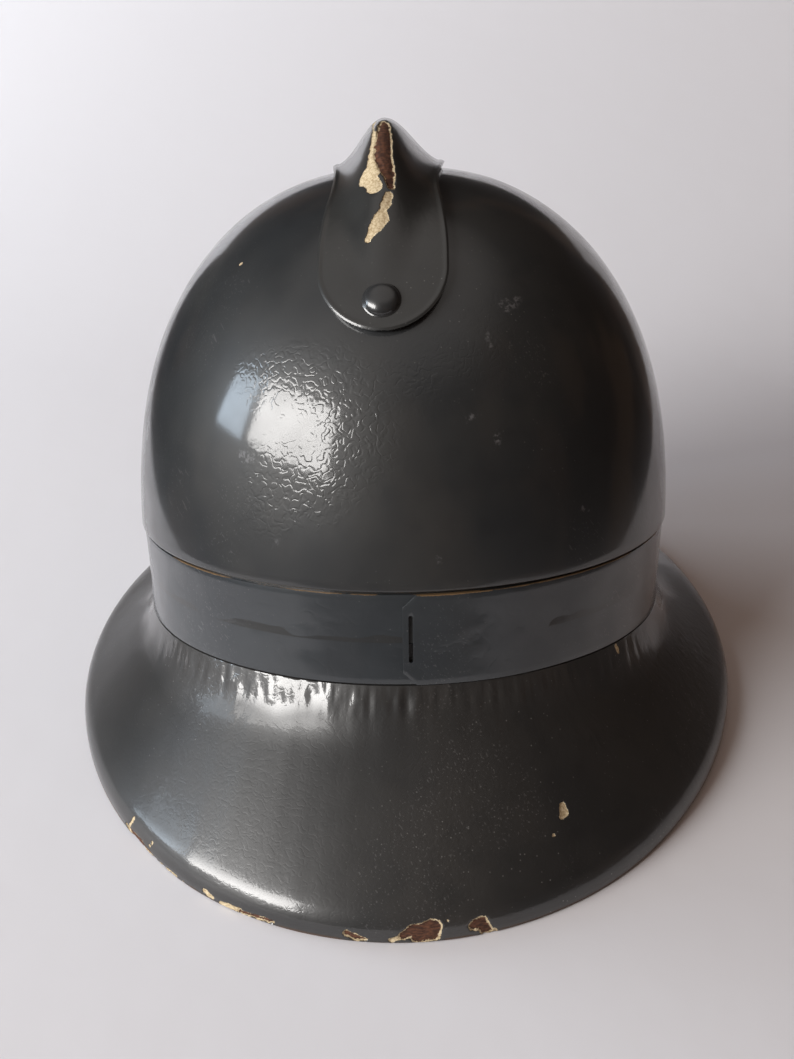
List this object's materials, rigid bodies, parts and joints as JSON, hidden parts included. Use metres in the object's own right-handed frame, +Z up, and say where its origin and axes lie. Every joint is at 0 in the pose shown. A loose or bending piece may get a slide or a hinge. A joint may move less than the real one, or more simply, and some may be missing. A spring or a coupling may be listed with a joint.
{
  "type": "riveted hard helmet of pith-helmet form",
  "caption": "Tall domed hard helmet with a band, a brim sloping all round into a long neck guard, and a riveted ridged comb; worn on the head to guard it.",
  "frame": {"origin": "on the surface that the helmet rests on, under the middle of the brim", "axes": "+Z up, +X to the helmet's right as the wearer faces the front, +Y towards the front; the rear neck guard is at -Y"},
  "size_m": [0.2612, 0.3212, 0.2171],
  "materials": {
    "shell_paint": "glossy dark slate-grey paint over cream filler on a moulded fibre shell, chipped at the rim",
    "band_paint": "dark blue-grey paint over a flat fibre strip, a little worn along its upper edge",
    "comb_paint": "dark grey paint over a pressed fibre saddle, worn through to brown along the ridge",
    "rivet_paint": "painted domed rivet"
  },
  "bodies": {
    "root": {"crown": "shell_paint", "brim": "shell_paint", "band": "band_paint", "comb": "comb_paint", "rear_rivet": "rivet_paint", "front_rivet": "rivet_paint"}
  },
  "joints": []
}
